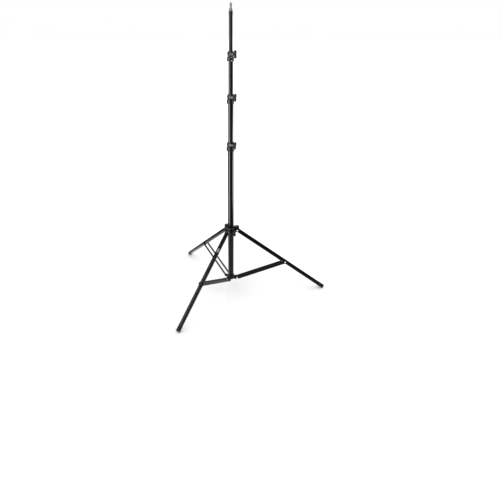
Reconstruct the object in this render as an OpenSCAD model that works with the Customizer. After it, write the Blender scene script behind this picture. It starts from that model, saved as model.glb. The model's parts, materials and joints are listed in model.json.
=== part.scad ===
// Telescopic light stand: a fixed column, three sliding risers with clamp collars, a sliding leg
// collar, three folding legs with braces, and a stud on top. Millimetres, +Z up. The origin is on
// the floor under the mast. The right leg lies along +X, the back leg at 120 and the front at 240.

/* [Mast] */
// Outside diameter of the fixed column
column_od = 35; // [34.5:0.1:35.5]
// Outside diameter of the lowest riser
riser_3_od = 30; // [29.5:0.1:30.5]
// Outside diameter of the middle riser
riser_2_od = 25; // [24.5:0.1:25.5]
// Outside diameter of the top riser
riser_1_od = 20; // [19.5:0.1:20.5]
// Wall of the fixed column
column_wall = 1.5; // [1.4:0.1:1.5]
// Wall of the risers
riser_wall = 1.2; // [1:0.1:1.3]
// Length of each riser tube
riser_length = 860; // [820:5:870]
// Height of the bottom edge of the lowest collar
lock_3_z = 948.5; // [940:0.5:955]
// Height of the bottom edge of the middle collar
lock_2_z = 1229; // [1215:0.5:1245]
// Height of the bottom edge of the top collar
lock_1_z = 1465; // [1450:0.5:1475]
// Height of the top riser's open end
mast_top = 1725.5; // [1715:0.5:1735]

/* [Collars] */
// Height of a collar's lower ring, which grips the tube below
lower_ring_h = 24; // [22:0.5:26]
// Height of the narrow waist between a collar's rings
waist_h = 7; // [6:0.5:7]
// Height of a collar's upper ring, which guides the riser
upper_ring_h = 16; // [15:0.5:17]
// Height of the slope from the upper ring in to the riser
shoulder_h = 7; // [6:0.5:8]
// Direction of the four T-knobs around the mast, in degrees
knob_azimuth = -58; // [-62:1:-55]
// Length of a knob's T-bar
t_bar_length = 43; // [38:1:46]
// Thickness of a knob's T-bar
t_bar_w = 13; // [11:1:14]

/* [Legs] */
// Distance from the mast to the end of a leg
foot_r = 628; // [600:1:650]
// Height of the middle of a leg's end face
foot_z = 9; // [8.8:0.1:9.5]
// Distance from the mast to a leg's hinge, and to a brace's lower pivot
hinge_r = 42; // [42:0.5:44]
// Height of the leg hinges
hinge_z = 429; // [420:1:435]
// Outside diameter of a leg tube
leg_od = 25; // [24.5:0.1:25]
// Wall of a leg tube
leg_wall = 1.5; // [1.2:0.1:1.6]
// Height of the braces' lower pivots
brace_z = 84; // [83:0.5:85]
// Place of the brace pivot along a leg, as a share of its length
brace_share = 0.5452; // [0.53:0.0001:0.56]
// Width of a brace strip
strip_w = 16; // [14:1:16]
// Thickness of a brace strip
strip_t = 2.5; // [2:0.1:2.5]

/* [Stud] */
// Diameter of the stud that carries the lamp
stud_d = 15.88; // [15.8:0.01:15.9]
// Diameter of the thread on the stud's tip
thread_d = 6.35; // [6.3:0.01:6.4]

/* [Hidden] */
$fn = 64;

black = [0.07, 0.07, 0.075];
dark = [0.11, 0.11, 0.115];
steel = [0.72, 0.72, 0.74];
brass = [0.75, 0.6, 0.3];
nylon = [0.25, 0.25, 0.26];

fit = 0.05;          // radial clearance of a running fit
seat = 0.03;         // radial clearance of two pieces that are fixed together
play = 0.4;          // gap between pieces that swing past each other

// Mast
column_z = 80;
plug_flange = 3;
plug_h = 15;
tube_in_lock = lower_ring_h + 2;
column_top = lock_3_z + tube_in_lock;
riser_3_top = lock_2_z + tube_in_lock;
riser_2_top = lock_1_z + tube_in_lock;
bush_skirt = 20;
bush_plug = 15;
bush_cup = 16;
bush_cup_wall = 4;
air_hole_r = 3;
cap_r = 10.9;
cap_skirt = 20;

// Collars, listed from the top one: outer radius, tube below, riser above, its bottom edge,
// direction of its screw and lean of its T-bar
lock_r = [19.5, 21, 23];
ring_shift = 2.5;     // the lower ring's centre lies this far from the mast, away from the knob
lock_face_r = [for (r = lock_r) r - ring_shift];
lock_tube_r = [riser_2_od / 2, riser_3_od / 2, column_od / 2];
lock_tube_wall = [riser_wall, riser_wall, column_wall];
lock_riser_r = [riser_1_od / 2, riser_2_od / 2, riser_3_od / 2];
lock_z = [lock_1_z, lock_2_z, lock_3_z];
screw_azimuth = [-76, -90, -84];
knob_lean = [0, -4, -7];
edge = 1.6;
bush_wall = 1.95;
bush_lip = 1;
bush_lip_w = 0.8;
waist_wall = 2.5;
shoulder_rim = 1.2;
upper_ring_z = lower_ring_h + waist_h;
shoulder_z = upper_ring_z + upper_ring_h;
lock_h = shoulder_z + shoulder_h;
boss_r = 9;
boss_reach = 36;
knob_h = upper_ring_z + boss_r + 0.5;
screw_h = 13;
screw_boss_r = 6.5;
screw_r = 2;
screw_head_r = 3.8;
screw_head_h = 2.5;
socket_r = 2;
socket_depth = 1.5;
screw_sink = 1;       // depth of a screw head's seat below the ring's face
shoe_r = 4.5;
shoe_length = 4;
knob_stud_r = 3;
knob_neck = 4.7;
knob_neck_r = 7.5;

// Leg collar and brace hub
collar_z = 394;
collar_top = 450;
collar_r = 24;
collar_bore_r = 19.5;
arm_reach = 53;
arm_top = 455;
arm_plate = 4;
cheek_in = 13.3;
cheek_out = 16.5;
eye_r = 11;
collar_knob_z = 420;
collar_boss_reach = 34;
hub_r = 22.5;
hub_z = 78;
hub_top = 104;
lug_r = 9.5;
lug_w = 27.2;
lug_gap = 17;
lug_root = column_od / 2 + 1;
hub_screw_azimuth = 60;
hub_screw_z = 96;
bolt_r = 4;
brace_bolt_r = 3.5;
bolt_head_r = 6;
bolt_head_h = 3;
nut_h = 4.5;
nut_ratio = 1.87;     // a nut's corner radius, as a share of its bolt's radius
bolt_tip = 0.8;       // how far a bolt's end stands out of its nut
through = 20;         // half-length of a hole drilled along Y

// Legs and braces: angles are measured from the vertical
leg_length = norm([foot_r - hinge_r, hinge_z - foot_z]);
leg_angle = atan2(foot_r - hinge_r, hinge_z - foot_z);
brace_at = leg_length * brace_share;
pivot_r = hinge_r + brace_at * sin(leg_angle);
pivot_z = hinge_z - brace_at * cos(leg_angle);
brace_length = norm([pivot_r - hinge_r, pivot_z - brace_z]);
brace_angle = atan2(pivot_r - hinge_r, pivot_z - brace_z);
leg_r = leg_od / 2;
leg_tube_from = 14;
leg_tube_to = leg_length - 14;
foot_cap_r = 13;
foot_skirt = 26;
hinge_plug = 26;
saddle_half = 13;
saddle_r = 13.6;
strip_in = saddle_r + play;
strip_out = strip_in + strip_t;
pivot_bolt_r = 3;
pivot_head_r = 5.5;
pivot_head_h = 2.4;
leg_turn = [0, 120, 240];

// Stud on the mast's top, heights above the tube's end
stud_root = 24;
stud_base_r = 10;
stud_base_h = 7.5;
stud_foot_h = 8;
stud_waist_r = 5;
stud_waist_h = 15;
stud_head_h = 6;
stud_tip_h = 8;

// ---- shared shapes ----

// An upright cylinder from a height
module cylinder_from(z, r, h) translate([0, 0, z]) cylinder(r = r, h = h);

// A tube between two heights
module pipe(r, wall, z_low, z_high) difference() {
    cylinder_from(z_low, r, z_high - z_low);
    cylinder_from(z_low - 1, r - wall, z_high - z_low + 2);
}

// A round bar pointing out from the mast
module radial(azimuth, z, from, to, r) {
    rotate([0, 0, azimuth]) translate([from, 0, z]) rotate([0, 90, 0])
        cylinder(r = r, h = to - from);
}

// A round bar along Y
module cross_bar(r, from, to) {
    translate([0, to, 0]) rotate([90, 0, 0]) cylinder(r = r, h = to - from);
}

// A flat plate in the XZ plane, from its outline
module side_plate(from, to) {
    translate([0, to, 0]) rotate([90, 0, 0]) linear_extrude(to - from) children();
}

// A solid ring with chamfered edges
module soft_disc(r, z_low, z_high, cut) {
    translate([0, 0, z_low]) rotate_extrude()
        polygon([[0, 0], [r - cut, 0], [r, cut], [r, z_high - z_low - cut],
            [r - cut, z_high - z_low], [0, z_high - z_low]]);
}

// A round end with one chamfered edge, standing on the XY plane
module soft_disc_end(r, h, cut) rotate_extrude()
    polygon([[0, 0], [r - cut, 0], [r, cut], [r, h], [0, h]]);

// Domed head of a bolt, standing on the XY plane
module dome_head(r, h) {
    cylinder(r = r, h = h / 2);
    translate([0, 0, h / 2]) cylinder(r1 = r, r2 = r * 0.6, h = h / 2);
}

// Domed head of a bolt along Y, on its -Y side
module bolt_head(r, h, at) translate([0, -at, 0]) rotate([90, 0, 0]) dome_head(r, h);

// Hexagonal nut on the +Y side of a bolt along Y
module bolt_nut(shank_r, at) translate([0, at, 0]) rotate([-90, 0, 0])
    cylinder(r = shank_r * nut_ratio, h = nut_h, $fn = 6);

// A bolt along Y with its head and its nut
module cross_bolt(shank_r, grip) {
    cross_bar(shank_r, -grip, grip + nut_h + bolt_tip);
    bolt_head(bolt_head_r, bolt_head_h, grip);
    bolt_nut(shank_r, grip);
}

// Guide bush in the lower end of a riser, running in the tube outside it
module riser_bush(outer_r, riser_r, z_end) {
    difference() {
        union() {
            cylinder_from(z_end - bush_skirt, outer_r - fit, bush_skirt);
            cylinder_from(z_end, riser_r - riser_wall - seat, bush_plug);
        }
        cylinder_from(z_end - bush_skirt - 1, air_hole_r, bush_skirt + bush_plug + 2);
        cylinder_from(z_end - bush_skirt - 1, riser_r - bush_cup_wall, bush_cup + 1);
    }
}

// A threaded hole through a tube for a collar's screw
module screw_hole(n) {
    radial(screw_azimuth[n], lock_z[n] + screw_h, 5, lock_r[n], screw_r + seat);
}

// ---- mast ----

module column_tube() color(black) difference() {
    pipe(column_od / 2, column_wall, column_z, column_top);
    screw_hole(2);
    radial(hub_screw_azimuth, hub_screw_z, 5, hub_r, screw_r + seat);
}

module column_plug() color(dark) difference() {
    union() {
        soft_disc(column_od / 2, column_z - plug_flange, column_z, 1);
        cylinder_from(column_z, column_od / 2 - column_wall - seat, plug_h);
    }
    cylinder_from(column_z - plug_flange - 1, air_hole_r, plug_flange + plug_h + 2);
}

module riser_3_tube() color(black) difference() {
    pipe(riser_3_od / 2, riser_wall, riser_3_top - riser_length, riser_3_top);
    screw_hole(1);
}

module riser_2_tube() color(black) difference() {
    pipe(riser_2_od / 2, riser_wall, riser_2_top - riser_length, riser_2_top);
    screw_hole(0);
}

module riser_1_tube() color(black)
    pipe(riser_1_od / 2, riser_wall, mast_top - riser_length, mast_top);

module riser_3_bush() color(nylon)
    riser_bush(column_od / 2 - column_wall, riser_3_od / 2, riser_3_top - riser_length);

module riser_2_bush() color(nylon)
    riser_bush(riser_3_od / 2 - riser_wall, riser_2_od / 2, riser_2_top - riser_length);

module riser_1_bush() color(nylon)
    riser_bush(riser_2_od / 2 - riser_wall, riser_1_od / 2, mast_top - riser_length);

module top_cap() color(dark) difference() {
    soft_disc(cap_r, mast_top - cap_skirt, mast_top, play);
    cylinder_from(mast_top - cap_skirt - 1, riser_1_od / 2 + seat, cap_skirt + 2);
}

module spigot() color(steel) translate([0, 0, mast_top + seat]) {
    cylinder_from(-stud_root, riser_1_od / 2 - riser_wall - seat, stud_root);
    soft_disc(stud_base_r, 0, stud_base_h, 0.5);
    cylinder_from(stud_base_h, stud_d / 2, stud_foot_h);
    cylinder_from(stud_base_h + stud_foot_h, stud_waist_r, stud_waist_h);
    cylinder_from(stud_base_h + stud_foot_h + stud_waist_h, stud_d / 2, stud_head_h);
    cylinder_from(stud_base_h + stud_foot_h + stud_waist_h + stud_head_h, thread_d / 2, stud_tip_h);
}

// ---- collars between the tubes; n is 0 for the top one ----

module lock_collar(n) color(dark) translate([0, 0, lock_z[n]]) difference() {
    union() {
        rotate([0, 0, knob_azimuth]) translate([-ring_shift, 0, 0])
            soft_disc(lock_r[n], 0, lower_ring_h, edge);
        cylinder_from(lower_ring_h - 1, lock_tube_r[n] + waist_wall, waist_h + 2);
        soft_disc(lock_r[n], upper_ring_z, shoulder_z, edge);
        translate([0, 0, shoulder_z - edge / 2])
            cylinder(r1 = lock_r[n] - edge / 2, r2 = lock_bore_r(n) + shoulder_rim, h = shoulder_h + edge / 2);
        radial(knob_azimuth, knob_h, 12, boss_reach, boss_r);
        radial(screw_azimuth[n], screw_h, 12, lock_face_r[n] + 2, screw_boss_r);
    }
    cylinder_from(-1, lock_tube_r[n] + seat, tube_in_lock + 1);
    cylinder_from(0, lock_bore_r(n), lock_h + 1);
    radial(knob_azimuth, knob_h, 5, boss_reach + 1, knob_stud_r + fit);
    radial(knob_azimuth, knob_h, 5, lock_riser_r[n] + shoe_length + seat, shoe_r + seat);
    radial(screw_azimuth[n], screw_h, 5, lock_r[n] + 3, screw_r + seat);
    radial(screw_azimuth[n], screw_h, lock_face_r[n] - screw_sink, lock_r[n] + 3,
        screw_head_r + seat);
}

// Bore of a collar's upper part, round its bush
function lock_bore_r(n) = lock_riser_r[n] + bush_wall;

module lock_bush(n) color(nylon) translate([0, 0, lock_z[n]]) difference() {
    union() {
        cylinder_from(tube_in_lock + 0.2, lock_bore_r(n) - seat, lock_h - tube_in_lock - 0.2);
        cylinder_from(lock_h, lock_bore_r(n) + bush_lip_w, bush_lip);
    }
    cylinder_from(0, lock_riser_r[n] + fit, lock_h * 2);
    radial(knob_azimuth, knob_h, 5, lock_r[n], shoe_r + seat);
}

module lock_shoe(n) color(brass) difference() {
    radial(knob_azimuth, lock_z[n] + knob_h, lock_riser_r[n] - 2,
        lock_riser_r[n] + shoe_length, shoe_r);
    cylinder_from(lock_z[n], lock_riser_r[n] + fit, lock_h);
}

module lock_screw(n) color(steel) rotate([0, 0, screw_azimuth[n]])
    translate([lock_face_r[n] - screw_sink + seat, 0, lock_z[n] + screw_h]) rotate([0, 90, 0])
        socket_screw(lock_face_r[n] - screw_sink - lock_tube_r[n] + lock_tube_wall[n]);

// Socket screw: its head stands on the XY plane and its shank points down
module socket_screw(shank) difference() {
    union() {
        cylinder(r = screw_head_r, h = screw_head_h);
        translate([0, 0, -shank]) cylinder(r = screw_r, h = shank);
    }
    cylinder_from(screw_head_h - socket_depth, socket_r, socket_depth + 1, $fn = 6);
}

module lock_stud(n) color(steel)
    knob_stud(lock_z[n] + knob_h, lock_riser_r[n] + shoe_length + fit, boss_reach);

module lock_knob(n) color(dark) t_knob(lock_z[n] + knob_h, boss_reach, knob_lean[n]);

// Stud of a T-knob: it runs through the boss and is fixed in the knob
module knob_stud(z, from, reach)
    radial(knob_azimuth, z, from, reach + knob_neck + t_bar_w / 2, knob_stud_r);

// T-knob: a neck that faces the boss and a bar across it
module t_knob(z, reach, lean) difference() {
    rotate([0, 0, knob_azimuth]) translate([reach + play, 0, z]) rotate([0, 90, 0])
        rotate([0, 0, lean]) {
            cylinder(r = knob_neck_r, h = knob_neck);
            translate([-t_bar_length / 2 + t_bar_w / 2, -t_bar_w / 2, knob_neck - 0.5])
                cube([t_bar_length - t_bar_w, t_bar_w, t_bar_w]);
            for (end = [-1, 1])
                translate([end * (t_bar_length - t_bar_w) / 2, 0, knob_neck - 0.5])
                    cylinder(r = t_bar_w / 2, h = t_bar_w);
        }
    radial(knob_azimuth, z, reach, reach + knob_neck + t_bar_w / 2 + seat, knob_stud_r + seat);
}

// ---- leg collar, sliding on the column ----

module collar_arm() difference() {
    side_plate(-cheek_out, cheek_out) arm_outline();
    side_plate(-cheek_in, cheek_in) translate([collar_r + 1, 0])
        square([arm_reach, arm_top - arm_plate]);
    translate([hinge_r, 0, hinge_z]) cross_bar(bolt_r + seat, -through, through);
}

// Side outline of an arm: a rounded eye under a flat top
module arm_outline() {
    translate([hinge_r, hinge_z]) circle(eye_r);
    translate([collar_bore_r + 1, hinge_z]) square([arm_reach - collar_bore_r - 1, arm_top - hinge_z]);
    translate([collar_bore_r + 1, hinge_z - eye_r]) square([hinge_r - collar_bore_r - 1, eye_r + 1]);
}

module leg_collar() color(dark) difference() {
    union() {
        soft_disc(collar_r, collar_z, collar_top, 1.5);
        for (turn = leg_turn) rotate([0, 0, turn]) collar_arm();
        radial(knob_azimuth, collar_knob_z, 20.5, collar_boss_reach, boss_r);
    }
    cylinder_from(collar_z - 1, collar_bore_r, arm_top);
    radial(knob_azimuth, collar_knob_z, 5, collar_boss_reach + 1, knob_stud_r + fit);
    radial(knob_azimuth, collar_knob_z, 5, column_od / 2 + shoe_length + seat, shoe_r + seat);
}

module leg_collar_bush() color(nylon) difference() {
    cylinder_from(collar_z, collar_bore_r - seat, collar_top - collar_z + 1.5);
    cylinder_from(collar_z - 1, column_od / 2 + fit, collar_top);
    radial(knob_azimuth, collar_knob_z, 5, collar_r, shoe_r + seat);
}

module leg_collar_shoe() color(brass) difference() {
    radial(knob_azimuth, collar_knob_z, column_od / 2 - 2, column_od / 2 + shoe_length, shoe_r);
    cylinder_from(collar_z, column_od / 2 + fit, collar_top);
}

module leg_collar_stud() color(steel)
    knob_stud(collar_knob_z, column_od / 2 + shoe_length + fit, collar_boss_reach);

module leg_collar_knob() color(dark) t_knob(collar_knob_z, collar_boss_reach, 0);

module leg_hinge_bolts() color(steel) for (turn = leg_turn)
    rotate([0, 0, turn]) translate([hinge_r, 0, hinge_z])
        cross_bolt(bolt_r, cheek_out + seat);

// ---- brace hub, fixed on the column's lower end ----

module hub_lug() difference() {
    side_plate(-lug_w / 2, lug_w / 2) {
        translate([hinge_r, brace_z]) circle(lug_r);
        polygon([[lug_root, hub_z + 1], [hinge_r, brace_z - lug_r], [hinge_r, brace_z + lug_r],
            [lug_root, brace_z + lug_r]]);
    }
    side_plate(-lug_gap / 2, lug_gap / 2) translate([hub_r + 4, brace_z - lug_r * 2])
        square([arm_reach, lug_r * 4]);
    translate([hinge_r, 0, brace_z]) cross_bar(brace_bolt_r + seat, -through, through);
}

module brace_hub() color(dark) difference() {
    union() {
        soft_disc(hub_r, hub_z, hub_top, 1.2);
        for (turn = leg_turn) rotate([0, 0, turn]) hub_lug();
    }
    cylinder_from(hub_z - 1, column_od / 2 + seat, hub_top);
    radial(hub_screw_azimuth, hub_screw_z, 5, hub_r + 3, screw_r + seat);
    radial(hub_screw_azimuth, hub_screw_z, hub_r - screw_sink, hub_r + 3, screw_head_r + seat);
}

module brace_hub_screw() color(steel) rotate([0, 0, hub_screw_azimuth])
    translate([hub_r - screw_sink + seat, 0, hub_screw_z]) rotate([0, 90, 0])
        socket_screw(hub_r - screw_sink - column_od / 2 + column_wall);

module brace_hub_bolts() color(steel) for (turn = leg_turn)
    rotate([0, 0, turn]) translate([hinge_r, 0, brace_z]) cross_bolt(brace_bolt_r, strip_out + 0.1);

// ---- legs; in a leg's own frame +Z runs down the leg from its hinge ----

module on_leg(n) rotate([0, 0, leg_turn[n]]) translate([hinge_r, 0, hinge_z])
    rotate([0, 180 - leg_angle, 0]) children();

module leg_tube(n) color(black) on_leg(n) pipe(leg_r, leg_wall, leg_tube_from, leg_tube_to);

module leg_hinge_end(n) color(dark) on_leg(n) difference() {
    union() {
        cross_bar(leg_r - play, -leg_r, leg_r);
        cylinder_from(0, leg_r, leg_tube_from - seat);
        cylinder_from(0, leg_r - leg_wall - seat, leg_tube_from + hinge_plug);
    }
    cross_bar(bolt_r + fit, -through, through);
}

module leg_saddle(n) color(dark) on_leg(n)
    pipe(saddle_r, saddle_r - leg_r - seat, brace_at - saddle_half, brace_at + saddle_half);

module leg_foot(n) color(dark) difference() {
    on_leg(n) difference() {
        union() {
            translate([0, 0, leg_length]) mirror([0, 0, 1])
                soft_disc_end(foot_cap_r, leg_length - leg_tube_to + foot_skirt, 0.8);
            cylinder_from(leg_tube_to - foot_skirt, leg_r - leg_wall - seat, foot_skirt + 1);
        }
        pipe(leg_r + seat, leg_wall + 2 * seat, leg_tube_to - foot_skirt - 1, leg_tube_to + seat);
    }
    translate([-foot_r * 2, -foot_r * 2, -50]) cube([foot_r * 4, foot_r * 4, 50]);
}

// ---- braces; in a brace's own frame +Z runs up the brace from its lower pivot ----

module on_brace(n) rotate([0, 0, leg_turn[n]]) translate([hinge_r, 0, brace_z])
    rotate([0, brace_angle, 0]) children();

module strip_outline() difference() {
    union() {
        translate([-strip_w / 2, 0]) square([strip_w, brace_length]);
        circle(strip_w / 2);
        translate([0, brace_length]) circle(strip_w / 2);
    }
    circle(brace_bolt_r + fit);
    translate([0, brace_length]) circle(pivot_bolt_r + seat);
}

module brace_strip(n, side) color(black) on_brace(n)
    side_plate(side > 0 ? strip_in : -strip_out, side > 0 ? strip_out : -strip_in) strip_outline();

// Bolt at a brace's upper end. Its middle is left out, because that pivot is open.
module brace_bolt(n) color(steel) on_brace(n) translate([0, 0, brace_length]) {
    cross_bar(pivot_bolt_r, -strip_out - 1, -strip_in);
    bolt_head(pivot_head_r, pivot_head_h, strip_out + seat);
    cross_bar(pivot_bolt_r, strip_in, strip_out + nut_h + bolt_tip);
    bolt_nut(pivot_bolt_r, strip_out + seat);
}

column_tube();
column_plug();
riser_3_tube();
riser_3_bush();
riser_2_tube();
riser_2_bush();
riser_1_tube();
riser_1_bush();
top_cap();
spigot();
lock_collar(2);  // lock_3_collar
lock_bush(2);  // lock_3_bush
lock_shoe(2);  // lock_3_shoe
lock_screw(2);  // lock_3_screw
lock_stud(2);  // lock_3_stud
lock_knob(2);  // lock_3_knob
lock_collar(1);  // lock_2_collar
lock_bush(1);  // lock_2_bush
lock_shoe(1);  // lock_2_shoe
lock_screw(1);  // lock_2_screw
lock_stud(1);  // lock_2_stud
lock_knob(1);  // lock_2_knob
lock_collar(0);  // lock_1_collar
lock_bush(0);  // lock_1_bush
lock_shoe(0);  // lock_1_shoe
lock_screw(0);  // lock_1_screw
lock_stud(0);  // lock_1_stud
lock_knob(0);  // lock_1_knob
leg_collar();
leg_collar_bush();
leg_collar_shoe();
leg_collar_stud();
leg_collar_knob();
leg_hinge_bolts();
brace_hub();
brace_hub_screw();
brace_hub_bolts();
leg_tube(0);  // leg_right_tube
leg_hinge_end(0);  // leg_right_hinge_end
leg_saddle(0);  // leg_right_saddle
leg_foot(0);  // leg_right_foot
leg_tube(1);  // leg_back_tube
leg_hinge_end(1);  // leg_back_hinge_end
leg_saddle(1);  // leg_back_saddle
leg_foot(1);  // leg_back_foot
leg_tube(2);  // leg_front_tube
leg_hinge_end(2);  // leg_front_hinge_end
leg_saddle(2);  // leg_front_saddle
leg_foot(2);  // leg_front_foot
brace_strip(0, 1);  // brace_right_strip_1
brace_strip(0, -1);  // brace_right_strip_2
brace_bolt(0);  // brace_right_bolt
brace_strip(1, 1);  // brace_back_strip_1
brace_strip(1, -1);  // brace_back_strip_2
brace_bolt(1);  // brace_back_bolt
brace_strip(2, 1);  // brace_front_strip_1
brace_strip(2, -1);  // brace_front_strip_2
brace_bolt(2);  // brace_front_bolt
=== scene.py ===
import json
import math

import bmesh
import bpy
from mathutils import Matrix, Vector


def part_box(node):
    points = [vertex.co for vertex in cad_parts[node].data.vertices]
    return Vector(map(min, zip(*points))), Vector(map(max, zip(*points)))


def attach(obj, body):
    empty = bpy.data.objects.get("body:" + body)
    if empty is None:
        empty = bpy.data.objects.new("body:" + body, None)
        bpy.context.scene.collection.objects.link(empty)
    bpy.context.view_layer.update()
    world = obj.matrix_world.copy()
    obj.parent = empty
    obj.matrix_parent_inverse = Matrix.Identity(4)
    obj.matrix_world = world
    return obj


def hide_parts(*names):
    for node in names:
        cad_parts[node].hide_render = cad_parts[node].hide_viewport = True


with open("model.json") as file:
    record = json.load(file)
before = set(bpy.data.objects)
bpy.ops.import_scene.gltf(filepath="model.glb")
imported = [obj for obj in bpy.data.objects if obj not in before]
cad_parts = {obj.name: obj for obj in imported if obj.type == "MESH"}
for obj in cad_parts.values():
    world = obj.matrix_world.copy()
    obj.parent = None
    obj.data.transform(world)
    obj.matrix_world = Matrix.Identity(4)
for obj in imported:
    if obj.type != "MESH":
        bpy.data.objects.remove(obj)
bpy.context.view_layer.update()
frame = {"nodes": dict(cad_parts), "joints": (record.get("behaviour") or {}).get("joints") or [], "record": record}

MM = 0.001
FIT_GAP = 0.03  # mm left between pieces that fit in or lie on each other
joints = {j["name"]: j for j in frame["joints"]}
mounts = {m["name"]: m for m in frame["record"]["mounts"]}
SIDES = ("right", "back", "front")
LEG_TURN = dict(zip(SIDES, (0.0, 120.0, 240.0)))
Z = Vector((0, 0, 1))


def unit(degrees):
    """Level direction at that azimuth."""
    a = math.radians(degrees)
    return Vector((math.cos(a), math.sin(a), 0))


# ---------------------------------------------------------------- mesh helpers, all in millimetres

def make_object(name, bm):
    """Linked object from a bmesh in millimetres. The bmesh is used up."""
    bmesh.ops.recalc_face_normals(bm, faces=bm.faces)
    mesh = bpy.data.meshes.new(name)
    bm.to_mesh(mesh)
    bm.free()
    mesh.transform(Matrix.Scale(MM, 4))
    obj = bpy.data.objects.new(name, mesh)
    bpy.context.scene.collection.objects.link(obj)
    return obj


def smooth(obj, angle):
    """Smooth shading, but for edges sharper than an angle in degrees."""
    for p in obj.data.polygons:
        p.use_smooth = True
    obj.data.set_sharp_from_angle(angle=math.radians(angle))


def place(bm, matrix):
    """The same bmesh, moved by a matrix."""
    bmesh.ops.transform(bm, matrix=matrix, verts=bm.verts)
    return bm


def skin(rings, ring_closed=False):
    """Quads between rings of points. The ends are capped, or joined when ring_closed."""
    bm = bmesh.new()
    rows = [[bm.verts.new(p) for p in ring] for ring in rings]
    n = len(rows[0])
    pairs = list(zip(rows, rows[1:]))
    if ring_closed:
        pairs.append((rows[-1], rows[0]))
    for a, b in pairs:
        for i in range(n):
            bm.faces.new((a[i], a[(i + 1) % n], b[(i + 1) % n], b[i]))
    if not ring_closed:
        bm.faces.new(rows[0][::-1])
        bm.faces.new(rows[-1])
    return bm


def rounded(points, radii, steps=5):
    """A line of plane points with its corners rounded; radii[i] belongs to points[i]."""
    pts = [Vector(p).to_2d() for p in points]
    out = [pts[0]]
    for i in range(1, len(pts) - 1):
        p, r = pts[i], radii[i]
        a, b = pts[i - 1] - p, pts[i + 1] - p
        r = min(r, a.length * 0.49, b.length * 0.49)
        if r <= 0:
            out.append(p)
            continue
        start, end = p + a.normalized() * r, p + b.normalized() * r
        for k in range(steps + 1):
            t = k / steps
            out.append(start * (1 - t) ** 2 + p * 2 * t * (1 - t) + end * t ** 2)
    out.append(pts[-1])
    return out


def full_turn(segments):
    """Evenly spaced angles round a circle, in radians."""
    return [2 * math.pi * i / segments for i in range(segments)]


def circle(r, z, angles):
    """Ring of points about Z."""
    return [Vector((r * math.cos(a), r * math.sin(a), z)) for a in angles]


def lathe(profile, segments=56):
    """Solid of revolution about Z. profile is [(r, z)] along its outside, and each end gets a flat cap."""
    return skin([circle(r, z, full_turn(segments)) for r, z in profile])


def hollow_lathe(profile, segments=72):
    """Ring of revolution about Z. profile is a closed line of [(r, z)]."""
    return skin([circle(r, z, full_turn(segments)) for r, z in profile], ring_closed=True)


def join(*parts):
    """One bmesh with the shells of several."""
    out = bmesh.new()
    for part in parts:
        mesh = bpy.data.meshes.new("part")
        part.to_mesh(mesh)
        part.free()
        out.from_mesh(mesh)
        bpy.data.meshes.remove(mesh)
    return out


def boolean(base, tools, operation):
    """Exact boolean of bmeshes; returns a bmesh."""
    target = make_object("boolean_base", base)
    for tool in tools:
        cutter = make_object("boolean_tool", tool)
        mod = target.modifiers.new("b", "BOOLEAN")
        mod.operation, mod.solver, mod.object = operation, "EXACT", cutter
        solved = target.evaluated_get(bpy.context.evaluated_depsgraph_get())
        done = bpy.data.meshes.new_from_object(solved)
        target.modifiers.clear()
        old, target.data = target.data, done
        bpy.data.meshes.remove(old)
        mesh = cutter.data
        bpy.data.objects.remove(cutter)
        bpy.data.meshes.remove(mesh)
    out = bmesh.new()
    out.from_mesh(target.data)
    mesh = target.data
    bpy.data.objects.remove(target)
    bpy.data.meshes.remove(mesh)
    bmesh.ops.transform(out, matrix=Matrix.Scale(1 / MM, 4), verts=out.verts)
    return out


def prism(outline, low, high, edge, steps=4):
    """A plate along Y from low to high, its XZ outline given counter-clockwise, edges rounded."""
    n = len(outline)
    pts = [Vector(p).to_2d() for p in outline]
    normals = []
    for i in range(n):
        d = (pts[(i + 1) % n] - pts[i - 1]).normalized()
        normals.append(Vector((d.y, -d.x)))
    turns = [math.pi / 2 * k / steps for k in range(steps + 1)]
    layers = [(low + edge * (1 - math.cos(t)), edge * (1 - math.sin(t))) for t in turns]
    layers += [(high + low - y, inset) for y, inset in reversed(layers)]
    rings = [[Vector((p.x - m.x * inset, y, p.y - m.y * inset)) for p, m in zip(pts, normals)]
             for y, inset in layers]
    return skin(rings)


def arc(cx, cz, r, start, end, steps):
    """Points on a circle, angles in degrees."""
    return [(cx + r * math.cos(math.radians(start + (end - start) * k / steps)),
             cz + r * math.sin(math.radians(start + (end - start) * k / steps))) for k in range(steps + 1)]


def radial_frame(azimuth, z, distance=0.0):
    """Matrix that puts +Z along the level direction at that azimuth and +X downward."""
    out, side = unit(azimuth), Z.cross(unit(azimuth))
    m = Matrix((-Z, side, out)).transposed().to_4x4()
    m.translation = out * distance + Z * z
    return m


def bounds_mm(node):
    """Lowest and highest corner of a node's box."""
    low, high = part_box(node)
    return low / MM, high / MM


def radius_mm(node):
    """Radius of an upright round node."""
    low, high = bounds_mm(node)
    return (high.x - low.x) / 2


def azimuth_of(node):
    """Azimuth at which a small node lies, from the middle of its box."""
    low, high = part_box(node)
    return math.degrees(math.atan2(low.y + high.y, low.x + high.x))


def middle_z(node):
    """Height of the middle of a node's box."""
    low, high = bounds_mm(node)
    return (low.z + high.z) / 2


def finish_piece(bm, name, body, mat, slot, *replaced, angle=32.0):
    """Object with its look, the body that it rides and the CAD nodes that it stands for."""
    obj = make_object(name, bm)
    smooth(obj, angle)
    obj.data.materials.append(mat)
    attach(obj, body)
    if replaced:
        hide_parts(*replaced)
    return obj


# ---------------------------------------------------------------- materials

def nodes_of(name):
    """New material with its node tree and shader."""
    mat = bpy.data.materials.new(name)
    mat.use_nodes = True
    tree = mat.node_tree
    return mat, tree, tree.nodes["Principled BSDF"]


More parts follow.
